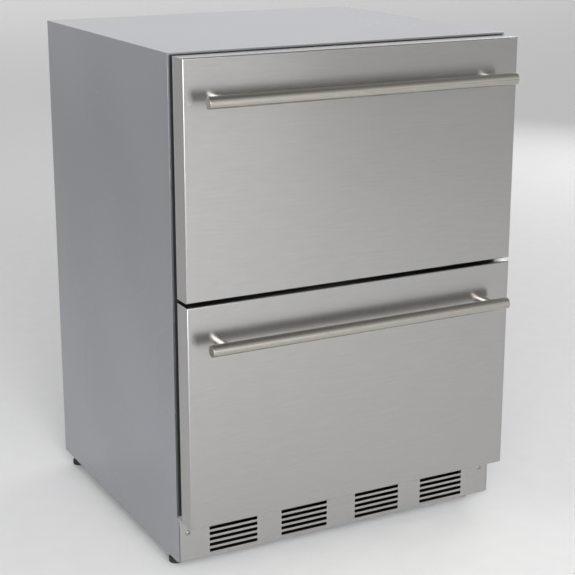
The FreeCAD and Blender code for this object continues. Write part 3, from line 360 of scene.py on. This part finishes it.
# %% Paint every engineering node with what it is made of
slot_material = {
    "wrapper_stainless": wrapper_steel, "drawer_stainless": drawer_steel, "handle_stainless": handle_steel,
    "galvanised_sheet": galvanised, "zinc_plated_steel": zinc_plate, "screw_steel": screw_plate,
    "polyurethane_foam": foam, "liner_plastic": liner_plastic, "black_plastic": black_plastic,
    "gasket_vinyl": gasket_vinyl, "rubber_mount": rubber, "black_enamel": black_enamel,
    "copper_tube": copper, "fin_aluminium": aluminium, "lamp_diffuser": opal,
    "display_window": display_glass, "grey_plastic": grey_plastic,
}
for subpart in frame["record"]["subparts"]:
    node = frame["nodes"][subpart["node"]]
    node.data.materials.clear()
    node.data.materials.append(slot_material[subpart["material_slot"]])

# %% [markdown]
# ## Drawer fronts
# Each front is a shallow pan: one sheet of steel whose four edges are bent back, welded at the corners
# and ground flush. A cube is stretched to the size, its back is opened, the bends are bevelled, and
# Solidify gives the sheet its millimetre.

# %% Drawer fronts
DRAWERS = ("upper", "lower")
BEND_RADIUS = 2.5 * MM
SHEET = 1.0 * MM
SHEET_EDGE = 0.2 * MM


def drawer_front(drawer):
    """One front: a box without its back, bent edges, a sheet's thickness."""
    low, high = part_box(drawer + "_drawer_skin")
    piece = box_piece(drawer + "_front_skin", low, high)
    edit(piece)
    pick(piece, faces_toward((0, 1, 0)))
    bpy.ops.mesh.delete(type="FACE")
    pick(piece, lambda edge: middle(edge).y < low.y + SHEET, "EDGE")
    bpy.ops.mesh.bevel(offset=BEND_RADIUS, segments=5, affect="EDGES")
    done()
    modified(piece, "SOLIDIFY", thickness=SHEET, offset=-1)
    soft_edges(piece, SHEET_EDGE, 1, 60)
    finish_piece(piece, drawer_steel, drawer + "_drawer", "drawer_stainless", drawer + "_drawer_skin")


for drawer in DRAWERS:
    drawer_front(drawer)

# %% [markdown]
# ## Handles
# A handle is a solid round bar on two round posts. The bar's ends are faced flat with a small chamfer
# and a ring inset on each flat end; the posts are coped to the bar's round, which a Boolean with the bar
# does.

# %% Handles
BAR_SIDES = 96
POST_SIDES = 48
TURNED_STEP = 0.8 * MM
END_CHAMFER = 0.7 * MM
NEAR = 0.01 * MM


def rod_piece(name, radius, start, end, sides):
    """A cylinder between two points."""
    start, end = Vector(start), Vector(end)
    along = end - start
    return primitive(name, "cylinder", radius=radius, depth=along.length, vertices=sides,
                     location=(start + end) / 2, rotation=along.to_track_quat("Z", "Y").to_euler())


def handle(drawer):
    """One bar with its two posts."""
    low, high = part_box(drawer + "_handle_bar")
    middle_y, middle_z = (low.y + high.y) / 2, (low.z + high.z) / 2
    radius = (high.z - low.z) / 2
    left_end, right_end = (low.x, middle_y, middle_z), (high.x, middle_y, middle_z)
    bar = rod_piece(drawer + "_bar", radius, left_end, right_end, BAR_SIDES)
    edit(bar)
    pick(bar, lambda face: abs(face.normal.x) > FACING)
    bpy.ops.mesh.inset(thickness=TURNED_STEP, depth=0)

    def on_rim(edge):
        corner = edge.verts[0].co
        from_axis = math.hypot(corner.y - middle_y, corner.z - middle_z)
        return abs(abs(middle(edge).x) - high.x) < NEAR and abs(from_axis - radius) < 5 * NEAR

    pick(bar, on_rim, "EDGE")
    bpy.ops.mesh.bevel(offset=END_CHAMFER, segments=3, affect="EDGES")
    done()
    post_low, post_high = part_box(drawer + "_handle_posts")
    post_radius = (post_high.z - post_low.z) / 2
    posts = []
    for name, x in (("left", post_low.x + post_radius), ("right", post_high.x - post_radius)):
        bar_end, door_end = (x, middle_y, middle_z), (x, post_high.y, middle_z)
        post = rod_piece(drawer + "_post_" + name, post_radius, bar_end, door_end, POST_SIDES)
        posts.append(modified(post, "BOOLEAN", operation="DIFFERENCE", object=bar, solver="EXACT"))
    body = drawer + "_drawer"
    finish_piece(bar, handle_steel, body, "handle_stainless", drawer + "_handle_bar", angle=20)
    # the flat end faces get the darker copy of the handle steel: painted shade
    second_finish(bar, shaded_end_steel, lambda face: abs(face.normal.x) > 0.9)
    for post in posts:
        finish_piece(post, handle_steel, body, "handle_stainless", drawer + "_handle_posts")


for drawer in DRAWERS:
    handle(drawer)

# %% [markdown]
# ## Wrapper
# Two side panels and a top sheet form the wrapper. Each is one folded sheet, and a folded edge is never
# sharp: half the sheet's thickness is its radius. The engineering shape is right, so a copy of it is
# merged and only its edges are softened.

# %% Wrapper
FOLD = 0.45 * MM
for node in ("left_side_panel", "right_side_panel", "top_panel"):
    panel = soft_edges(cad_copy(node, node + "_folded"), FOLD, 2)
    finish_piece(panel, wrapper_steel, "cabinet", "wrapper_stainless", node)

# %% [markdown]
# ## Kick plate
# The kick plate is a flat sheet pierced by four groups of six slots, and the punch leaves each slot's
# rim turned in a little. A plane is cut along every slot edge with Bisect, the slot faces are inset and
# sunk to make the rims, and then they are removed.

# %% Kick plate
SLOT_CENTRES = (-201.6 * MM, -70.5 * MM, 70.5 * MM, 201.6 * MM)
SLOT_HALF_WIDTH = 43 * MM
SLOT_HALF_HEIGHT = 2.6 * MM
SLOT_PITCH = 9.8 * MM
FIRST_SLOT = 8.7 * MM
SLOT_ROWS = 6
PUNCH_RIM = 0.4 * MM
PUNCH_SINK = 0.3 * MM
PLATE_CORNER = 3 * MM
PLATE_EDGE = 0.15 * MM


def cut(piece, at, across):
    """Cuts every face of the piece along a plane through a point."""
    bpy.ops.mesh.select_all(action="SELECT")
    bpy.ops.mesh.bisect(plane_co=at, plane_no=across)


def kick_plate():
    """The sheet is cut along the slots' edges, the slots are sunk and then opened."""
    low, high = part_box("kick_plate")
    centre = ((low.x + high.x) / 2, low.y, (low.z + high.z) / 2)
    plate = primitive("kick_plate_slotted", "plane", size=1, location=centre,
                      rotation=(math.radians(90), 0, 0), scale=(high.x - low.x, high.z - low.z, 1))
    edit(plate)
    pick(plate, lambda point: point.co.z > high.z - SHEET, "VERT")
    bpy.ops.mesh.bevel(offset=PLATE_CORNER, segments=4, affect="VERTICES")
    rows = [low.z + FIRST_SLOT + k * SLOT_PITCH for k in range(SLOT_ROWS)]
    half_height, half_width = SLOT_HALF_HEIGHT + PUNCH_RIM, SLOT_HALF_WIDTH + PUNCH_RIM
    for z in rows:
        cut(plate, (0, low.y, z - half_height), (0, 0, 1))
        cut(plate, (0, low.y, z + half_height), (0, 0, 1))
    for x in SLOT_CENTRES:
        cut(plate, (x - half_width, low.y, 0), (1, 0, 0))
        cut(plate, (x + half_width, low.y, 0), (1, 0, 0))
    in_slot = lambda face: (min(abs(middle(face).z - z) for z in rows) < half_height
                            and min(abs(middle(face).x - x) for x in SLOT_CENTRES) < half_width)
    print("slots", pick(plate, in_slot))
    bpy.ops.mesh.inset(thickness=PUNCH_RIM, depth=-PUNCH_SINK, use_individual=True)
    bpy.ops.mesh.delete(type="FACE")
    done()
    modified(plate, "SOLIDIFY", thickness=SHEET, offset=-1)
    soft_edges(plate, PLATE_EDGE, 1, 60)
    finish_piece(plate, kick_steel, "cabinet", "drawer_stainless", "kick_plate")


kick_plate()

# %% [markdown]
# ## Base pan
# The base is galvanised. Its air duct behind the kick plate and the insulation pan are painted black
# instead: painted shade, so the slots look dark.
# The rail and the tabs at the front stay bright galvanised. One mesh carries both the galvanised finish and
# the painted shade.

# %% Base pan
PAN_EDGE = 0.3 * MM
PAINTED_SHADE_SETBACK = 1.1 * MM

pan_front_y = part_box("base_pan")[0].y
pan = soft_edges(cad_copy("base_pan", "base_pan_painted_shade"), PAN_EDGE, 1)
finish_piece(pan, galvanised, "cabinet", "galvanised_sheet", "base_pan")
# faces behind the front rail and tabs get the near-black painted shade
second_finish(pan, painted_shade_black,
              lambda face: middle(face).y > pan_front_y + PAINTED_SHADE_SETBACK and face.normal.z > -0.5)
# the insulation pan gets the same near-black painted shade
frame["nodes"]["insulation_pan"].data.materials[0] = painted_shade_black

# %% [markdown]
# ## Gaskets
# A door gasket is an extruded vinyl tube with a flat base, two bellows folds that let it close up, and a
# magnet strip in its nose. Its section runs round the whole front with mitred corners, so the faces of
# one ring are inset and outset in turn.

# %% Gaskets
GASKET_WIDTH = 14 * MM
GASKET_BASE = 3 * MM
FOLDS = 2
NOSE = 0.7 * MM
NOSE_WALL = 1.0 * MM
BASE_LEDGE = 2 * MM
BELLOWS_STEP = 1.3 * MM
VINYL_EDGE = 0.25 * MM


def gasket(drawer):
    """One mitred ring whose section steps in and out twice."""
    low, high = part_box(drawer + "_gasket")
    base_high = Vector((high.x, low.y + GASKET_BASE, high.z))
    ring = box_piece(drawer + "_gasket_bellows", low, base_high)
    edit(ring)
    pick(ring, lambda face: abs(face.normal.y) > FACING)
    bpy.ops.mesh.inset(thickness=GASKET_WIDTH, depth=0, use_individual=True)
    bpy.ops.mesh.bridge_edge_loops()
    pick(ring, faces_toward((0, 1, 0)))
    bpy.ops.mesh.inset(thickness=BASE_LEDGE, depth=0)
    rise = (high.y - base_high.y - NOSE) / (2 * FOLDS)
    for _ in range(FOLDS):
        bpy.ops.mesh.inset(thickness=BELLOWS_STEP, depth=rise)
        bpy.ops.mesh.inset(thickness=BELLOWS_STEP, depth=rise, use_outset=True)
    bpy.ops.mesh.inset(thickness=NOSE_WALL, depth=NOSE)
    done()
    soft_edges(ring, VINYL_EDGE, 2, 25)
    finish_piece(ring, gasket_vinyl, drawer + "_drawer", "gasket_vinyl", drawer + "_gasket")


for drawer in DRAWERS:
    gasket(drawer)

# %% [markdown]
# ## Drawer tubs
# Each drawer carries a pressed steel tub: generous corner radii that are easy to wipe, a flat floor, and
# a rim that is turned outwards and down. The rim is drawn out of the wall's own top edge.

# %% Drawer tubs
TUB_SHEET = 1.2 * MM
RIM_OUT = 5 * MM
RIM_DOWN = 6 * MM
TUB_CORNER = 14 * MM
TUB_FOOT_RADIUS = 8 * MM
TUB_EDGE = 0.5 * MM


def tub(drawer):
    """One pressed tub: an open box, round corners, a rim drawn out and down."""
    low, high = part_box(drawer + "_tub")
    low, high = low + Vector((RIM_OUT, RIM_OUT, 0)), high - Vector((RIM_OUT, RIM_OUT, 0))
    centre = (low + high) / 2
    piece = box_piece(drawer + "_tub_pressed", low, high)
    edit(piece)
    pick(piece, faces_toward((0, 0, 1)))
    bpy.ops.mesh.delete(type="FACE")
    pick(piece, lambda edge: abs(edge.verts[0].co.z - edge.verts[1].co.z) > (high.z - low.z) / 2, "EDGE")
    bpy.ops.mesh.bevel(offset=TUB_CORNER, segments=6, affect="EDGES")
    pick(piece, lambda edge: max(v.co.z for v in edge.verts) < low.z + MM, "EDGE")
    bpy.ops.mesh.bevel(offset=TUB_FOOT_RADIUS, segments=4, affect="EDGES")
    pick(piece, lambda edge: min(v.co.z for v in edge.verts) > high.z - MM, "EDGE")
    grown = [(high[k] - low[k] + 2 * RIM_OUT) / (high[k] - low[k]) for k in (0, 1)]
    bpy.ops.mesh.extrude_edges_move()
    bpy.ops.transform.resize(value=(grown[0], grown[1], 1), center_override=(centre.x, centre.y, high.z))
    bpy.ops.mesh.extrude_edges_move(TRANSFORM_OT_translate={"value": (0, 0, -RIM_DOWN)})
    done()
    modified(piece, "SOLIDIFY", thickness=TUB_SHEET, offset=-1)
    soft_edges(piece, TUB_EDGE, 2, 40)
    finish_piece(piece, tub_steel, drawer + "_drawer", "zinc_plated_steel", drawer + "_tub")


for drawer in DRAWERS:
    tub(drawer)

# %% [markdown]
# ## Levelling feet
# Each foot is a moulded pad and spanner hexagon on an M10 steel stem with a 1.5 mm thread. The thread is
# cut as rings: the stem is bisected every half pitch and every second loop is drawn in.

# %% Levelling feet
FEET = ("front_left", "front_right", "rear_left", "rear_right")
PAD_RADIUS = 12 * MM
PAD_HEIGHT = 9 * MM
HEXAGON_TOP = 21 * MM
HEXAGON_RADIUS = 10.5 * MM
STEM_RADIUS = 5 * MM
STEM_SIDES = 32
PAD_SIDES = 48
PAD_ROUND = 1.4 * MM
HEXAGON_ROUND = 0.6 * MM
SEAT = 1.0 * MM
THREAD_PITCH = 1.5 * MM
THREAD_ROOT = 0.86


def foot(place):
    """One foot: pad and hexagon joined as one moulding, and a threaded stem that sits in it."""
    low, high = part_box("foot_" + place)
    x, y = (low.x + high.x) / 2, (low.y + high.y) / 2
    pad = rod_piece("pad", PAD_RADIUS, (x, y, low.z), (x, y, low.z + PAD_HEIGHT), PAD_SIDES)
    soft_edges(pad, PAD_ROUND, 3)
    hexagon = rod_piece("hexagon", HEXAGON_RADIUS, (x, y, low.z + PAD_HEIGHT - SEAT),
                        (x, y, low.z + HEXAGON_TOP), 6)
    soft_edges(hexagon, HEXAGON_ROUND, 2)
    alone(pad)
    hexagon.select_set(True)
    bpy.ops.object.join()
    pad.name = "foot_" + place + "_moulding"
    body = place + "_foot"
    finish_piece(pad, black_plastic, body, "black_plastic", "foot_" + place)
    stem_low = low.z + HEXAGON_TOP - SEAT
    stem = rod_piece("foot_" + place + "_stem", STEM_RADIUS, (x, y, stem_low), (x, y, high.z), STEM_SIDES)
    edit(stem)
    turns = int((high.z - stem_low) / THREAD_PITCH)
    loops = [stem_low + (k + 1) * THREAD_PITCH / 2 for k in range(2 * turns - 1)]
    for z in loops:
        cut(stem, (x, y, z), (0, 0, 1))
    roots = loops[::2]

    def in_root(edge):
        return min(max(abs(end.co.z - z) for end in edge.verts) for z in roots) < NEAR

    pick(stem, in_root, "EDGE")
    bpy.ops.transform.resize(value=(THREAD_ROOT, THREAD_ROOT, 1), center_override=(x, y, low.z))
    done()
    finish_piece(stem, zinc_plate, body, "zinc_plated_steel", "foot_" + place, angle=20)


for place in FEET:
    foot(place)

# %% [markdown]
# ## Back
# The back is galvanised sheet. Over the machine bay it is pierced for air, and a pressed hood over each
# slot keeps fingers and drips out. One hood is a low box with an open underside and a sloping front, and
# it is copied to every slot.

# %% Back panel and machine cover
BACK_EDGE = 0.25 * MM

for node, material, slot in (("back_panel", galvanised, "galvanised_sheet"),
                             ("machine_cover", galvanised, "galvanised_sheet"),
                             ("power_cord_gland", black_plastic, "black_plastic")):
    sheet = soft_edges(cad_copy(node, node + "_softened"), BACK_EDGE, 1)
    finish_piece(sheet, material, "cabinet", slot, node)

# %% Louvre hoods
VENT_COLUMNS = [(-210 + 120 * k) * MM for k in range(4)]
VENT_ROWS = [(64 + 17 * k) * MM for k in range(9)]
VENT_WIDTH = 80 * MM
VENT_HEIGHT = 6 * MM
HOOD_DEPTH = 2.2 * MM
HOOD_MARGIN = 2 * MM
HOOD_ROUND = 2 * MM
HOOD_SHEET = 0.7 * MM
HOOD_OVERLAP = 0.2 * MM
HOOD_DROP = 0.5 * MM


def louvre_hoods():
    """One hood is shaped over the first slot, and the rest are copies of it."""
    skin_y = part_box("machine_cover")[1].y
    left, bottom = VENT_COLUMNS[0], VENT_ROWS[0]
    low = (left - HOOD_MARGIN, skin_y - HOOD_OVERLAP, bottom - HOOD_DROP)
    high = (left + VENT_WIDTH + HOOD_MARGIN, skin_y + HOOD_DEPTH, bottom + VENT_HEIGHT + HOOD_MARGIN)
    hood = box_piece("louvre_hoods", low, high)
    edit(hood)
    pick(hood, lambda face: face.normal.z < -FACING or face.normal.y < -FACING)
    bpy.ops.mesh.delete(type="FACE")
    pick(hood, lambda edge: middle(edge).y > high[1] - NEAR and middle(edge).z > low[2] + NEAR, "EDGE")
    bpy.ops.mesh.bevel(offset=HOOD_ROUND, segments=4, affect="EDGES")
    done()
    modified(hood, "SOLIDIFY", thickness=HOOD_SHEET, offset=-1)
    places = [(x - left, 0, z - bottom) for x in VENT_COLUMNS for z in VENT_ROWS]
    copies = [copy_of(hood, "hood", place) for place in places[1:]]
    alone(hood)
    for twin in copies:
        twin.select_set(True)
    bpy.ops.object.join()
    finish_piece(hood, galvanised, "cabinet", "galvanised_sheet")


louvre_hoods()

# %% [markdown]
# ## Black front frame and controls
# A moulded frame closes the gap between the wrapper and the liner, and it is all that shows round a
# closed drawer. The control strip sits in its top bar, behind the upper drawer.

# %% Front frame and controls
MOULDED_EDGE = 0.4 * MM

for node, material, slot in (("front_frame", black_plastic, "black_plastic"),
                             ("control_housing", black_plastic, "black_plastic"),
                             ("upper_inner_panel", liner_plastic, "liner_plastic"),
                             ("lower_inner_panel", liner_plastic, "liner_plastic")):
    owner = "cabinet" if node in ("front_frame", "control_housing") else node.split("_")[0] + "_drawer"
    moulding = soft_edges(cad_copy(node, node + "_moulding"), MOULDED_EDGE, 2)
    finish_piece(moulding, material, owner, slot, node)

# %% [markdown]
# ## Floor, light and camera
# A pale floor and a pale sky stand for the white studio. Large soft lamps give each face its own even
# tone, and a long lens keeps the proportions calm.

# %% Floor and sky
bpy.ops.object.select_all(action="DESELECT")
bpy.ops.mesh.primitive_plane_add(size=80, location=(0, 0, 0))
floor = bpy.context.active_object
floor.name = "studio_floor"
floor_paint = speckled("matt_white_floor", "#F4F4F4", "#F1F1F1", 40.0, 0.9)
floor.data.materials.append(floor_paint)

world = bpy.data.worlds.new("studio_sky")
bpy.context.scene.world = world
world.use_nodes = True
sky = world.node_tree
sky.nodes.clear()
height = add_node(sky, "SeparateXYZ", links={"Vector": add_node(sky, "TexCoord").outputs["Generated"]})
tones = add_node(sky, "ValToRGB", links={"Fac": height.outputs["Z"]})
horizon, zenith = tones.color_ramp.elements
horizon.color = linear("#FFFFFF")
zenith.color = linear("#5C5C5C")
shoulder = tones.color_ramp.elements.new(0.5)
shoulder.color = linear("#CACACA")
glow = add_node(sky, "Background", {"Strength": 1.03}, {"Color": tones.outputs["Color"]})
add_node(sky, "OutputWorld", links={"Surface": glow.outputs["Background"]})

# %% Lamps
def lamp(name, place, aim, width, height, watts, colour="#FFFFFF"):
    """A rectangular soft lamp that points at a spot and isn't seen itself."""
    light = bpy.data.lights.new(name, "AREA")
    light.shape = "RECTANGLE"
    light.size, light.size_y = width, height
    light.energy = watts
    light.color = linear(colour)[:3]
    lamp_object = bpy.data.objects.new(name, light)
    lamp_object.location = place
    lamp_object.rotation_euler = (Vector(aim) - Vector(place)).to_track_quat("-Z", "Y").to_euler()
    lamp_object.visible_camera = False
    bpy.context.scene.collection.objects.link(lamp_object)


lamp("key_front_left", (-1.6, -3.6, 1.7), (0, 0, 0.4), 2.6, 3.0, 114)
lamp("fill_front", (-0.6, -3.9, 1.4), (0, 0, 0.4), 2.0, 2.6, 74)
lamp("edge_right", (3.2, 2.2, 1.5), (0, 0, 0.8), 1.6, 1.2, 22)
lamp("low_front", (0.7, -3.4, 0.5), (0, 0, 0.3), 1.6, 0.9, 2)
lamp("backdrop_wash_right", (4.5, 12, 6), (4.5, 12, 0), 10, 8, 150)
lamp("backdrop_wash_left", (-2.5, 11, 6), (-2.5, 11, 0), 7, 8, 90)

# %% Camera
EYE = Vector((-1.1375, -2.1803, 1.0982))
LOOK = Vector((0.4511, 0.8523, -0.2649))
camera_data = bpy.data.cameras.new("camera")
camera_data.lens = 90.75
camera_data.sensor_width = 36.0
camera_data.shift_y = -0.0348
camera = bpy.data.objects.new("camera", camera_data)
camera.location = EYE
camera.rotation_euler = LOOK.to_track_quat("-Z", "Y").to_euler()
bpy.context.scene.collection.objects.link(camera)
bpy.context.scene.camera = camera
bpy.context.scene.view_settings.view_transform = "Standard"
